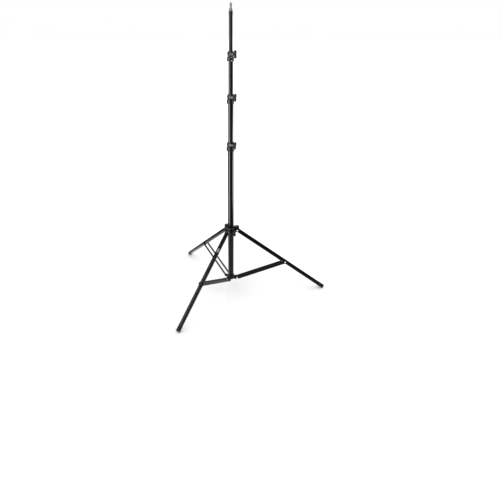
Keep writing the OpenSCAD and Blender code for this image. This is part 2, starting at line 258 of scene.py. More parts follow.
def noise(tree, scale, detail=3.0, stretch=(1, 1, 1), along=None):
    """Noise in the object's own frame; stretch is the scale on each axis, along turns +Z to a direction."""
    coord = tree.nodes.new("ShaderNodeTexCoord")
    turn = tree.nodes.new("ShaderNodeMapping")
    if along is not None:
        turn.inputs["Rotation"].default_value = along.rotation_difference(Z).to_euler()
    squeeze = tree.nodes.new("ShaderNodeMapping")
    squeeze.inputs["Scale"].default_value = stretch
    tex = tree.nodes.new("ShaderNodeTexNoise")
    tex.inputs["Scale"].default_value = scale
    tex.inputs["Detail"].default_value = detail
    tree.links.new(coord.outputs["Object"], turn.inputs["Vector"])
    tree.links.new(turn.outputs["Vector"], squeeze.inputs["Vector"])
    tree.links.new(squeeze.outputs["Vector"], tex.inputs["Vector"])
    return tex.outputs["Fac"]


def ramp(tree, value, stops):
    """Colour by value; stops are (place, colour)."""
    node = tree.nodes.new("ShaderNodeValToRGB")
    elements = node.color_ramp.elements
    while len(elements) < len(stops):
        elements.new(0.5)
    for element, (place_at, colour) in zip(elements, stops):
        element.position = place_at
        element.color = (*colour, 1)
    tree.links.new(value, node.inputs["Fac"])
    return node.outputs["Color"]


def map_range(tree, value, start, end, low, high, curve="LINEAR"):
    """Goes from low at start to high at end."""
    node = tree.nodes.new("ShaderNodeMapRange")
    node.interpolation_type = curve
    for name, number in (("From Min", start), ("From Max", end), ("To Min", low), ("To Max", high)):
        node.inputs[name].default_value = number
    tree.links.new(value, node.inputs["Value"])
    return node.outputs["Result"]


def set_roughness(tree, shader, value, low, high):
    """Roughness that follows a noise, whose values lie mostly between 0.3 and 0.7."""
    tree.links.new(map_range(tree, value, 0.3, 0.7, low, high), shader.inputs["Roughness"])


def set_black(tree, shader, value, stops):
    """Nearly black base colour that follows a noise; stops are (place, brightness)."""
    colours = [(place_at, (tone, tone, tone + 0.0005)) for place_at, tone in stops]
    tree.links.new(ramp(tree, value, colours), shader.inputs["Base Color"])


def bump(tree, shader, heights):
    """Chains bump nodes; heights are (value, strength, distance in metres)."""
    normal = None
    for value, strength, distance in heights:
        node = tree.nodes.new("ShaderNodeBump")
        node.inputs["Strength"].default_value = strength
        node.inputs["Distance"].default_value = distance
        tree.links.new(value, node.inputs["Height"])
        if normal is not None:
            tree.links.new(normal, node.inputs["Normal"])
        normal = node.outputs["Normal"]
    tree.links.new(normal, shader.inputs["Normal"])


def coated_tube(name, along=Z):
    """Satin black coating on a drawn aluminium tube, with faint draw lines and rubbed streaks."""
    mat, tree, shader = nodes_of(name)
    streaks = noise(tree, 90.0, 4.0, (9, 9, 0.25), along)
    blotch = noise(tree, 14.0, 5.0, (1, 1, 0.4), along)
    grain = noise(tree, 1400.0, 2.0)
    set_black(tree, shader, blotch, [(0.3, 0.005), (0.55, 0.007), (0.78, 0.013)])
    set_roughness(tree, shader, streaks, 0.14, 0.20)
    bump(tree, shader, [(streaks, 0.02, 0.00003), (grain, 0.06, 0.00003)])
    return mat


def moulded_plastic(name):
    """Black glass-filled nylon with a fine sand-blast grain."""
    mat, tree, shader = nodes_of(name)
    grain = noise(tree, 1900.0, 3.0)
    patch = noise(tree, 55.0, 4.0)
    set_black(tree, shader, patch, [(0.3, 0.008), (0.6, 0.012), (0.8, 0.022)])
    set_roughness(tree, shader, patch, 0.34, 0.48)
    bump(tree, shader, [(grain, 0.30, 0.00007), (patch, 0.15, 0.0002)])
    return mat


def coated_casting(name):
    """Black powder coat with its orange-peel surface."""
    mat, tree, shader = nodes_of(name)
    peel = noise(tree, 420.0, 2.0)
    patch = noise(tree, 35.0, 5.0)
    set_black(tree, shader, patch, [(0.3, 0.008), (0.6, 0.012), (0.8, 0.022)])
    set_roughness(tree, shader, patch, 0.28, 0.40)
    bump(tree, shader, [(peel, 0.25, 0.00012)])
    return mat


def plain_metal(name, light, dark, rough, lines=(1, 1, 1), metallic=1.0):
    """Bare or plated metal with fine working marks and a little tarnish."""
    mat, tree, shader = nodes_of(name)
    marks = noise(tree, 300.0, 3.0, lines)
    tarnish = noise(tree, 160.0, 4.0)
    tree.links.new(ramp(tree, tarnish, [(0.3, dark), (0.62, light)]), shader.inputs["Base Color"])
    shader.inputs["Metallic"].default_value = metallic
    set_roughness(tree, shader, marks, rough - 0.07, rough + 0.09)
    bump(tree, shader, [(marks, 0.15, 0.00004)])
    return mat


def soft_plastic(name, light, dark, rough):
    """Smooth nylon or rubber with slight mottling."""
    mat, tree, shader = nodes_of(name)
    patch = noise(tree, 120.0, 4.0)
    grain = noise(tree, 1500.0, 2.0)
    tree.links.new(ramp(tree, patch, [(0.3, dark), (0.7, light)]), shader.inputs["Base Color"])
    set_roughness(tree, shader, patch, rough - 0.06, rough + 0.08)
    bump(tree, shader, [(grain, 0.25, 0.00006)])
    return mat


TUBE = coated_tube("black_coated_tube")
LEG_AXIS = {s: Vector(mounts["leg_end_" + s]["axis"]) for s in SIDES}
LEG_TUBE = {s: coated_tube("black_coated_leg_" + s, LEG_AXIS[s]) for s in SIDES}
PLASTIC = moulded_plastic("black_moulded_plastic")
CASTING = coated_casting("black_powder_coat")
# near-white plated steel for bolt heads and studs; the same near-white is the painted highlight of the glint pins
# on the top collar
PLATED_STEEL_AND_GLINT = plain_metal("plated_steel_and_painted_glint", (0.94, 0.94, 0.95), (0.84, 0.84, 0.85), 0.36,
                           metallic=0.15)
DARK_STEEL = plain_metal("blackened_steel", (0.10, 0.10, 0.105), (0.05, 0.05, 0.052), 0.34)
STUD_STEEL = plain_metal("turned_steel", (0.24, 0.24, 0.245), (0.16, 0.16, 0.165), 0.42, (1, 1, 14), 0.3)
BRASS = plain_metal("plain_brass", (0.80, 0.60, 0.28), (0.58, 0.42, 0.20), 0.30)
NYLON = soft_plastic("dark_nylon", (0.030, 0.030, 0.032), (0.018, 0.018, 0.019), 0.42)
RUBBER = soft_plastic("black_rubber", (0.012, 0.012, 0.012), (0.006, 0.006, 0.006), 0.50)
# lighter grey for a thin patch on the upper side of the front leg
LIGHT_PATCH = soft_plastic("light_grey_patch", (0.34, 0.34, 0.35), (0.27, 0.27, 0.28), 0.45)


# ---------------------------------------------------------------- CAD nodes that keep their shape

def keep_cad(node, mat, edge=0.0003):
    """A carried-over CAD node: welded, its rims softly bevelled, with a finished material."""
    obj = frame["nodes"][node]
    obj.data.materials.clear()
    obj.data.materials.append(mat)
    weld = obj.modifiers.new("weld", "WELD")
    weld.merge_threshold = 0.00001
    soften = obj.modifiers.new("soften", "BEVEL")
    soften.width, soften.segments = edge, 2
    soften.limit_method, soften.angle_limit = "ANGLE", math.radians(40)
    even = obj.modifiers.new("even", "WEIGHTED_NORMAL")
    even.weight = 90


for s in SIDES:
    keep_cad(f"leg_{s}_hinge_end", CASTING, 0.0005)
for n in frame["nodes"]:
    if n.endswith("_bush") or n == "column_plug":
        keep_cad(n, NYLON)
    if n.endswith("_shoe"):
        keep_cad(n, BRASS)
    if n.endswith("_stud"):
        keep_cad(n, PLATED_STEEL_AND_GLINT)


# ---------------------------------------------------------------- tubes

def tube(radius, wall, low, high):
    """Drawn tube along Z with slightly broken rims."""
    inner, broken = radius - wall, 0.3
    return hollow_lathe(rounded([(inner, low), (radius, low), (radius, high), (inner, high)],
                                [0, broken, broken, 0], 3), 96)


for body, wall in (("column", 1.5), ("riser_3", 1.2), ("riser_2", 1.2), ("riser_1", 1.2)):
    node = f"{body}_tube"
    low, high = bounds_mm(node)
    pipe = tube(radius_mm(node), wall, low.z, high.z)
    finish_piece(pipe, f"{body}_pipe", body, TUBE, "black_tube", node)


# ---------------------------------------------------------------- clamp collars

EDGE = 1.6
KNOB_AXIS = Vector(joints["knob_1_turn"]["axis"])
KNOB_AZIMUTH = math.degrees(math.atan2(KNOB_AXIS.y, KNOB_AXIS.x))
LOWER_H, WAIST_H, SHOULDER_H = 24.0, 7.0, 7.0
WAIST_WALL, BUSH_WALL = 2.5, 1.95
RING_SHIFT = 2.5
NOSE_R, NOSE_CENTRE, NOSE_REACH = 8.7, 29.0, 36.0
SAW_HALF, SAW_SKIN = 0.9, 0.6
NECK_R, BAR_HALF, BAR_W = 7.5, 21.5, 13.0
BAR_RISE, BAR_WAIST, SQUARENESS = 4.2, 5.3, 0.62
DISH_AT, DISH_DEPTH = 12.5, 1.5
SEAT_STEP = 1.0
TUBE_BELOW = {"1": "riser_2_tube", "2": "riser_3_tube", "3": "column_tube"}
TUBE_ABOVE = {"1": "riser_1_tube", "2": "riser_2_tube", "3": "riser_3_tube"}


def ring_radius(index):
    """Radius of a collar's rings; its lower ring is shifted away from the knob."""
    return -bounds_mm(f"lock_{index}_collar")[0].x - RING_SHIFT * KNOB_AXIS.x


def turned_by(theta, azimuth):
    """Angle between a direction and an azimuth, in radians, from 0 to pi."""
    return math.radians(abs((math.degrees(theta) - azimuth + 180) % 360 - 180))


def teardrop(big, small, centre, cut, azimuth):
    """Radius by angle of a circle with a nose towards azimuth; an inset shrinks it all round."""
    def radius(theta, inset):
        r1, r2 = big - inset, small - inset
        t = turned_by(theta, azimuth)
        touch = math.acos((r1 - r2) / centre)
        nose = math.atan2(r2 * math.sin(touch), centre + r2 * math.cos(touch))
        if t >= touch:
            return r1
        if t >= nose:
            return r1 / math.cos(t - touch)
        full = centre * math.cos(t) + math.sqrt(max(0.0, r2 ** 2 - (centre * math.sin(t)) ** 2))
        return min(full, (cut - inset) / math.cos(t))
    return radius


def shifted_circle(big, shift, azimuth):
    """Radius by angle of a circle whose centre lies away from azimuth."""
    def radius(theta, inset):
        t = math.pi - turned_by(theta, azimuth)
        return shift * math.cos(t) + math.sqrt((big - inset) ** 2 - (shift * math.sin(t)) ** 2)
    return radius


def slotted(radius, azimuth, half_gap, floor):
    """The same outline with a saw cut across the wall at azimuth."""
    def cut(theta, inset):
        t = turned_by(theta, azimuth)
        if math.sin(t) * floor < half_gap and t < math.pi / 2:
            return floor
        return radius(theta, inset)
    return cut


def round_outline(big):
    return lambda theta, inset: big - inset


def polar_solid(levels, bore, angles):
    """Closed solid around Z. levels are (z, outline, inset) going up and bore is [(r, z)] going down."""
    rings = [[Vector((math.cos(a) * f(a, inset), math.sin(a) * f(a, inset), z)) for a in angles]
             for z, f, inset in levels]
    rings += [circle(r, z, angles) for r, z in bore]
    return skin(rings, ring_closed=True)


def tier(low, high, outline, edge, steps=4):
    """Levels of one tier of a collar, with rounded lower and upper edges."""
    turns = [math.pi / 2 * k / steps for k in range(steps + 1)]
    rise = [(edge * (1 - math.cos(t)), edge * (1 - math.sin(t))) for t in turns]
    levels = [(low + z, outline, inset) for z, inset in rise]
    return levels + [(high - z, outline, inset) for z, inset in reversed(rise)]


def angles_with(*dense):
    """Angles round the circle, closer together round the given (azimuth, half width, step)."""
    found = {round(5.0 * i, 3) for i in range(72)}
    for azimuth, half, step in dense:
        found = {a for a in found if abs((a - azimuth + 180) % 360 - 180) > half}
        count = int(half / step)
        found |= {round((azimuth + k * half / count) % 360, 3) for k in range(-count, count + 1)}
    return [math.radians(a) for a in sorted(found)]


def soft_pad(r, reach, edge=1.2):
    """Round pad along +Z that ends in a rounded rim."""
    line = rounded([(r, 0), (r, reach), (0.3, reach)], [0, edge, 0], 4)
    return lathe([(0.3, 0)] + line, 40)


def make_collar(index, body):
    """Clamp collar: slotted ring round the tube below, waist, nosed ring with a cone round the riser."""
    node = f"lock_{index}_collar"
    low, high = bounds_mm(node)
    height = high.z - low.z
    screw = azimuth_of(f"lock_{index}_screw")
    screw_h = middle_z(f"lock_{index}_screw") - low.z
    ring_r, tube_r = ring_radius(index), radius_mm(TUBE_BELOW[index])
    seat = radius_mm(TUBE_ABOVE[index]) + BUSH_WALL
    bore_r, split = tube_r + FIT_GAP, KNOB_AZIMUTH + 180
    nose = teardrop(ring_r, NOSE_R, NOSE_CENTRE, NOSE_REACH, KNOB_AZIMUTH)
    lower = slotted(shifted_circle(ring_r, RING_SHIFT, KNOB_AZIMUTH), split, SAW_HALF, tube_r + SAW_SKIN)
    upper = slotted(nose, split, SAW_HALF, seat + SAW_SKIN)
    cone = slotted(round_outline(ring_r), split, SAW_HALF, seat + SAW_SKIN)
    waist, broken = round_outline(tube_r + WAIST_WALL), 0.6
    angles = angles_with(((KNOB_AZIMUTH + screw) / 2, 60, 1.5), (split, 8, 0.7))
    upper_z, shoulder_z = LOWER_H + WAIST_H, height - SHOULDER_H
    levels = tier(0, LOWER_H, lower, EDGE)
    levels += [(LOWER_H, waist, broken), (LOWER_H + broken, waist, 0)]
    levels += [(upper_z - broken, waist, 0), (upper_z, waist, broken)]
    levels += tier(upper_z, shoulder_z, upper, EDGE)
    foot, rim = EDGE + 0.3, ring_r - seat - 0.9
    levels += [(shoulder_z, cone, foot)]
    for t in (0.3, 0.6, 0.9):
        levels.append((shoulder_z + SHOULDER_H * t, cone, foot + (rim - foot) * t ** 1.25))
    levels += [(height, cone, rim + 0.2)]
    ledge = LOWER_H + 2
    bore = [(seat + 0.3, height), (seat, height - 0.3), (seat, ledge), (bore_r, ledge)]
    bore += [(bore_r, 0.4), (tube_r + 0.4, 0)]
    face, pad_r, pad_h, well_r, well_h = ring_r - RING_SHIFT, 6.5, 5, 4.4, 8
    pad = place(soft_pad(pad_r, pad_h), radial_frame(screw, screw_h, face - 3))
    well = place(lathe([(well_r, 0), (well_r, well_h)], 40), radial_frame(screw, screw_h, face - SEAT_STEP))
    bm = boolean(polar_solid(levels, bore, angles), [pad], "UNION")
    bm = boolean(bm, [well], "DIFFERENCE")
    place(bm, Matrix.Translation((0, 0, low.z)))
    finish_piece(bm, f"collar_{index}", body, PLASTIC, "black_plastic", node)


def socket_screw(shank):
    """Socket screw along +Z: rounded head with a hexagon recess, shank below."""
    shank_r, head_r, head_h = 2.0, 3.8, 2.5
    outside = rounded([(shank_r, -shank), (shank_r, 0), (head_r, 0), (head_r, head_h), (0.3, head_h)],
                      [0, 0, 0.1, 0.7, 0], 3)
    key = place(lathe([(2.2, 0), (2.2, 4)], 6), Matrix.Translation((0, 0, 0.8)))
    return boolean(lathe(outside, 36), [key], "DIFFERENCE")


def make_screw(index, body):
    """Socket screw that fixes a collar on the tube below it."""
    node = f"lock_{index}_screw"
    seat_r = ring_radius(index) - RING_SHIFT - SEAT_STEP
    shank = seat_r - radius_mm(TUBE_BELOW[index]) + 1.2
    bm = place(socket_screw(shank), radial_frame(azimuth_of(node), middle_z(node), seat_r))
    finish_piece(bm, f"collar_screw_{index}", body, DARK_STEEL, "steel", node)


def make_glint_pins():
    """Two near-white pins above and below the top collar's screw: painted highlights standing in for glints there.
    """
    node = "lock_1_screw"
    face, pin_r, pin_h, offset = ring_radius("1") - RING_SHIFT - 0.4, 2.8, 1.6, 8.6
    pins = [place(soft_pad(pin_r, pin_h, 0.7), radial_frame(azimuth_of(node), middle_z(node) + rise, face))
            for rise in (-offset, offset)]
    finish_piece(join(*pins), "collar_painted_glints_1", "riser_2", PLATED_STEEL_AND_GLINT, "steel")


def squared(value):
    """Turns a cosine or sine into that of a rounded square."""
    return math.copysign(abs(value) ** SQUARENESS, value)


def bar_ring(x):
    """Section of a knob's bar at x: narrowest in the middle, round at the ends, dished on its top."""
    u, lobe = abs(x), BAR_W / 2
    straight = BAR_HALF - lobe
    if u <= straight:
        w = BAR_WAIST + (lobe - BAR_WAIST) * math.sin(math.pi / 2 * u / straight) ** 2
    else:
        w = math.sqrt(max(0.05, lobe ** 2 - (u - straight) ** 2))
    d = (lobe - 0.2) * max(0.12, 1 - (u / BAR_HALF) ** 9) ** 0.4 * (1 - 0.10 * (u / BAR_HALF) ** 2)
    ring = []
    for j in range(32):
        c, s = math.cos(math.pi * j / 16), math.sin(math.pi * j / 16)
        y, z = w * squared(c), d * squared(s)
        if s > 0.3:
            z -= DISH_DEPTH * math.exp(-((u - DISH_AT) ** 2) / 28 - (y / 3.4) ** 4)
        ring.append(Vector((x, y, BAR_RISE + lobe + z)))
    return ring


def make_knob(name, node, joint, body, lean=0.0):
    """T-knob: a flared neck and a dished bar across it, turned from the upright by lean degrees."""
    pos = Vector(joints[joint]["pos_m"]) / MM
    neck_from = (bounds_mm(node)[0].x + NECK_R * abs(KNOB_AXIS.y)) / KNOB_AXIS.x
    bar = skin([bar_ring(BAR_HALF * math.sin(math.pi / 2 * k / 18)) for k in range(-18, 19)])
    neck = rounded([(2.9, 0), (NECK_R, 0), (NECK_R, 1.6), (5.7, 4.0), (5.4, 7.5), (2.9, 7.5)],
                   [0, 0.4, 0.6, 1.2, 0, 0], 4)
    bm = boolean(bar, [lathe(neck, 40)], "UNION")
    place(bm, Matrix.Rotation(math.radians(lean), 4, "Z"))
    place(bm, radial_frame(KNOB_AZIMUTH, pos.z, neck_from))
    finish_piece(bm, name, body, PLASTIC, "black_plastic", node)


for index, body, lean in (("3", "column", -7.0), ("2", "riser_3", -4.0), ("1", "riser_2", 0.0)):
    make_collar(index, body)
    make_screw(index, body)
    make_knob(f"t_knob_{index}", f"lock_{index}_knob", f"knob_{index}_turn", f"knob_{index}", lean)
make_knob("t_knob_leg_collar", "leg_collar_knob", "leg_collar_knob_turn", "leg_collar_knob")
# near-white pins on the top collar: painted highlights
make_glint_pins()


# ---------------------------------------------------------------- leg collar

HINGE_R = math.hypot(*joints["leg_right_fold"]["pos_m"][:2]) / MM
HINGE_Z = joints["leg_right_fold"]["pos_m"][2] / MM
COLLAR_LOW, ARM_TOP = bounds_mm("leg_collar")[0].z, bounds_mm("leg_collar")[1].z
COLLAR_TOP = ARM_TOP - 5
ARM_ROOT, ARM_REACH, ARM_PLATE = 21.5, 53.0, 4.0
CHEEK_IN, CHEEK_OUT = 13.3, 16.5


def turned(bm, side):
    """The same bmesh, turned from the right leg's direction to another's."""
    return place(bm, Matrix.Rotation(math.radians(LEG_TURN[side]), 4, "Z"))


def fork_gap(inner, outer, low, high, half, edge):
    """Block that cuts the gap of a fork."""
    return prism([(inner, low), (outer, low), (outer, high), (inner, high)], -half, half, edge, 2)


def make_arm(side):
    """Forked arm with a flat top; its eye is under the outer end."""
    eye = arc(HINGE_R, HINGE_Z, ARM_REACH - HINGE_R, -130, 0, 14)
    corner = rounded([(ARM_REACH, HINGE_Z), (ARM_REACH, ARM_TOP), (ARM_ROOT, ARM_TOP)], [0, 5.0, 0], 6)
    outline = [(ARM_ROOT, HINGE_Z - 13)] + eye + corner[1:]
    arm = prism(outline, -CHEEK_OUT, CHEEK_OUT, 1.4)
    pocket = fork_gap(25.2, 70.0, HINGE_Z - 40, ARM_TOP - ARM_PLATE, CHEEK_IN, 0.8)
    return turned(boolean(arm, [pocket], "DIFFERENCE"), side)


def make_leg_collar():
    """Sleeve on the column with a boss for the knob and three forked arms."""
    ring_r, bore_r, boss_half = 24.0, 19.5, 9.5
    knob_z = joints["leg_collar_knob_turn"]["pos_m"][2] / MM
    nose = teardrop(ring_r, 8.8, 27.0, 34.0, KNOB_AZIMUTH)
    angles = angles_with((KNOB_AZIMUTH, 44, 1.5))
    sleeve = polar_solid(tier(COLLAR_LOW, COLLAR_TOP, round_outline(ring_r), 1.8),
                         [(bore_r, COLLAR_TOP), (bore_r, COLLAR_LOW)], angles)
    boss = polar_solid(tier(knob_z - boss_half, knob_z + boss_half, nose, 2.2),
                       [(bore_r + 2, knob_z + boss_half), (bore_r + 2, knob_z - boss_half)], angles)
    bm = boolean(sleeve, [boss] + [make_arm(s) for s in SIDES], "UNION")
    finish_piece(bm, "leg_collar_casting", "leg_collar", CASTING, "black_casting", "leg_collar", angle=28)


make_leg_collar()


# ---------------------------------------------------------------- brace hub

HUB_Z = joints["brace_right_fold"]["pos_m"][2] / MM
HUB_LOW, HUB_R = HUB_Z - 6.0, 22.5
LUG_R, LUG_HALF, LUG_GAP = 9.5, 13.6, 8.5


def make_lug(side):
    """Forked lug whose underside rises from its eye to the ring."""
    root, clear = 19.5, 26.5
    outline = [(root, HUB_LOW + 1)] + arc(HINGE_R, HUB_Z, LUG_R, -100, 90, 22) + [(root, HUB_Z + LUG_R)]
    lug = prism(outline, -LUG_HALF, LUG_HALF, 1.2)
    gap = fork_gap(clear, 70, HUB_Z - 20, HUB_Z + 20, LUG_GAP, 0.6)
    return turned(boolean(lug, [gap], "DIFFERENCE"), side)


def make_hub():
    """Ring fixed on the column's lower end, with three forked lugs and its screw."""
    top = bounds_mm("brace_hub")[1].z
    column_r, seat_r = radius_mm("column_tube"), HUB_R - SEAT_STEP
    screw, screw_z = azimuth_of("brace_hub_screw"), middle_z("brace_hub_screw")
    bore = [(column_r + FIT_GAP, top), (column_r + FIT_GAP, HUB_LOW)]
    ring = polar_solid(tier(HUB_LOW, top, round_outline(HUB_R), 1.6), bore, angles_with((screw, 20, 2)))
    bm = boolean(ring, [make_lug(s) for s in SIDES], "UNION")
    well = place(lathe([(4.3, 0), (4.3, 8)], 36), radial_frame(screw, screw_z, seat_r))
    bm = boolean(bm, [well], "DIFFERENCE")
    finish_piece(bm, "brace_hub_casting", "column", CASTING, "black_casting", "brace_hub", angle=28)
    bm = place(socket_screw(seat_r - column_r + 1.5), radial_frame(screw, screw_z, seat_r))
    finish_piece(bm, "hub_screw", "column", DARK_STEEL, "steel", "brace_hub_screw")


make_hub()


# ---------------------------------------------------------------- bolts with domed heads and lock nuts

# heads are (radius, height)
CASTING_HEAD, PIVOT_HEAD = (6.0, 3.0), (5.5, 2.4)
HINGE_BOLT_R, HUB_BOLT_R, PIVOT_R = 4.0, 3.5, 3.0
# distance from a hub bolt's middle to its head and to its nut
HUB_GRIP = 16.6
NUT_H, BOLT_TIP, NUT_RATIO = 4.5, 0.8, 1.87


hinge_points = {s: unit(LEG_TURN[s]) * HINGE_R + Z * HINGE_Z for s in SIDES}
hub_points = {s: unit(LEG_TURN[s]) * HINGE_R + Z * HUB_Z for s in SIDES}


def across(side, point):
    """Matrix that lays +Z along a leg's hinge axis, at a point."""
    out = unit(LEG_TURN[side])
    m = Matrix((out, -Z, Z.cross(out))).transposed().to_4x4()
    m.translation = point
    return m


def along_leg(side, distance):
    """Matrix that lays +Z down a leg, at a distance from its hinge."""
    axis, y = LEG_AXIS[side], Z.cross(unit(LEG_TURN[side]))
    m = Matrix((y.cross(axis), y, axis)).transposed().to_4x4()
    m.translation = hinge_points[side] + axis * distance
    return m


def saddle_at(side):
    """How far down its leg a brace's upper pivot lies, from the middle of the saddle's box."""
    low, high = bounds_mm(f"leg_{side}_saddle")
    return ((low + high) / 2 - hinge_points[side]).dot(LEG_AXIS[side])


def bolt_head(shank_r, inner, grip, head_r, head_h):
    """Domed head on the -Z side, with the shank from it up to inner."""
    rim, turns = 0.28, [math.pi / 2 * k / 7 for k in range(7)]
    dome = [(head_r * math.cos(t), -grip - head_h * (rim + (1 - rim) * math.sin(t))) for t in turns]
    shank = [(head_r, -grip), (shank_r, -grip), (shank_r, inner)]
    return lathe([(0.4, -grip - head_h)] + dome[::-1] + shank, 40)


def bolt_nut(shank_r, inner, grip):
    """Lock nut on the +Z side: chamfered hexagon, round collar, bolt end, and the shank from inner."""
    outer, top = shank_r * NUT_RATIO, grip + NUT_H
    flat = outer * math.cos(math.pi / 6)
    body = lathe([(outer, grip), (outer, grip + NUT_H * 0.72)], 6)
    crown = lathe([(outer + 1, grip - 1), (outer + 1, grip + NUT_H * 0.45),
                   (flat - 0.4, grip + NUT_H * 0.85)], 48)
    body = boolean(body, [crown], "INTERSECT")
    collar_r, foot = flat - 0.7, grip + 0.5
    ring = rounded([(shank_r, foot), (collar_r, foot), (collar_r, top), (shank_r, top)], [0, 0, 0.6, 0], 3)
    core, tip = shank_r - 0.1, top + BOLT_TIP
    shank = lathe([(core, inner), (core, tip - 0.6), (shank_r - 0.7, tip)], 32)
    return boolean(body, [lathe(ring, 40), shank], "UNION")


def bolt_set(name, node, body, points, shank_r, grip):
    """The three bolts of a casting: bright heads and shanks, dark nuts."""
    heads = [place(bolt_head(shank_r, grip, grip, *CASTING_HEAD), across(s, points[s])) for s in SIDES]
    nuts = [place(bolt_nut(shank_r, grip - 1, grip), across(s, points[s])) for s in SIDES]
    finish_piece(join(*heads), name + "_bolts", body, PLATED_STEEL_AND_GLINT, "steel", node)
    finish_piece(join(*nuts), name + "_nuts", body, DARK_STEEL, "steel", node)


bolt_set("leg_hinge", "leg_hinge_bolts", "leg_collar", hinge_points, HINGE_BOLT_R, CHEEK_OUT + FIT_GAP)
bolt_set("hub", "brace_hub_bolts", "column", hub_points, HUB_BOLT_R, HUB_GRIP)


# ---------------------------------------------------------------- brace strips and their upper pivots

STRIP_R = 8.0
STRIP_IN, STRIP_OUT = (corner.y for corner in bounds_mm("brace_right_strip_1"))


def make_strip(side, k, low, high):
    """Flat bar with round ends, from the hub's bolt up to the pivot on the leg."""
    down = Vector((LEG_AXIS["right"].x, LEG_AXIS["right"].z))
    top = Vector((HINGE_R, HINGE_Z)) + down * saddle_at("right")
    rise = math.degrees(math.atan2(top.y - HUB_Z, top.x - HINGE_R))
    outline = arc(HINGE_R, HUB_Z, STRIP_R, rise + 90, rise + 270, 20)
    outline += arc(top.x, top.y, STRIP_R, rise + 270, rise + 450, 20)
    bar = turned(prism(outline, low, high, 0.5, 3), side)
    finish_piece(bar, f"brace_{side}_bar_{k}", f"brace_{side}", CASTING, "black_casting",
                 f"brace_{side}_strip_{k}")


def make_pivot(side):
    """Head and nut of the bolt through a brace's upper ends; between the strips the bolt is left out."""
    body, node, grip = f"brace_{side}", f"brace_{side}_bolt", STRIP_OUT + FIT_GAP
    at = across(side, hinge_points[side] + LEG_AXIS[side] * saddle_at(side))
    head = place(bolt_head(PIVOT_R, -STRIP_IN, grip, *PIVOT_HEAD), at)
    nut = place(bolt_nut(PIVOT_R, STRIP_IN, grip), at)
    finish_piece(head, f"brace_{side}_pivot_head", body, PLATED_STEEL_AND_GLINT, "steel", node)
    finish_piece(nut, f"brace_{side}_pivot_nut", body, DARK_STEEL, "steel", node)


for s in SIDES:
    make_strip(s, 1, STRIP_IN, STRIP_OUT)
    make_strip(s, 2, -STRIP_OUT, -STRIP_IN)
    make_pivot(s)


# ---------------------------------------------------------------- leg tubes, saddles and feet

LEG_R, LEG_WALL = 12.5, 1.5
SLEEVE_R = LEG_R + FIT_GAP
FOOT_HALF = 20.2


def leg_span():
    """Distances from the hinge to the two ends of a leg tube, from the right leg's box."""
    low, high = bounds_mm("leg_right_tube")
    axis = LEG_AXIS["right"]
    return (low.x - HINGE_R - LEG_R * axis.z) / axis.x, (high.x - HINGE_R + LEG_R * axis.z) / axis.x


def make_leg_tube(side):
    pipe = place(tube(LEG_R, LEG_WALL, *leg_span()), along_leg(side, 0))
    finish_piece(pipe, f"leg_{side}_pipe", f"leg_{side}", LEG_TUBE[side], "black_tube", f"leg_{side}_tube")


def make_band(side):
    """Saddle band round a leg tube at the brace's pivot, with a raised rim at each end."""
    middle, rim, half = 13.0, 13.55, 13.0
    line = rounded([(SLEEVE_R, -half), (rim, -half), (rim, -9.6), (middle, -9.2), (middle, 9.2), (rim, 9.6),
                    (rim, half), (SLEEVE_R, half)], [0, 0.4, 0.3, 0.3, 0.3, 0.3, 0.4, 0], 3)
    band = place(hollow_lathe(line), along_leg(side, saddle_at(side)))
    finish_piece(band, f"leg_{side}_band", f"leg_{side}", PLASTIC, "black_plastic", f"leg_{side}_saddle")


def make_foot(side):
    """Rubber cap on a leg's end, with a groove round it. What would reach below the floor is flattened."""
    outer, groove, back, stop = 12.95, 12.7, -40, -14.2
    line = rounded([(SLEEVE_R, back), (outer, back), (outer, -34), (groove, -33.2), (groove, -31.8),
                    (outer, -31), (outer, 0), (10.6, 0), (10.0, -0.9), (0.3, -0.9)],
                   [0, 0.3, 0.3, 0.3, 0.3, 0.3, 1.3, 0.3, 0.3, 0], 4)
    foot_mid = Vector(mounts["leg_end_" + side]["pos_m"]) / MM
    tip = (foot_mid - hinge_points[side]).dot(LEG_AXIS[side]) + FOOT_HALF
    cap = place(lathe([(0.3, stop), (SLEEVE_R, stop)] + line, 72), along_leg(side, tip))
    for v in cap.verts:
        v.co.z = max(v.co.z, 0.0)
    finish_piece(cap, f"leg_{side}_end_cap", f"leg_{side}", RUBBER, "foot_rubber", f"leg_{side}_foot")


for s in SIDES:
    make_leg_tube(s)
for s in SIDES:
    make_band(s)
    make_foot(s)


# ---------------------------------------------------------------- stud and top cap

MAST_TOP = bounds_mm("top_cap")[1].z
THREAD_R, THREAD_CORE, THREAD_PITCH, THREAD_DEPTH = 3.17, 2.75, 1.27, 0.55


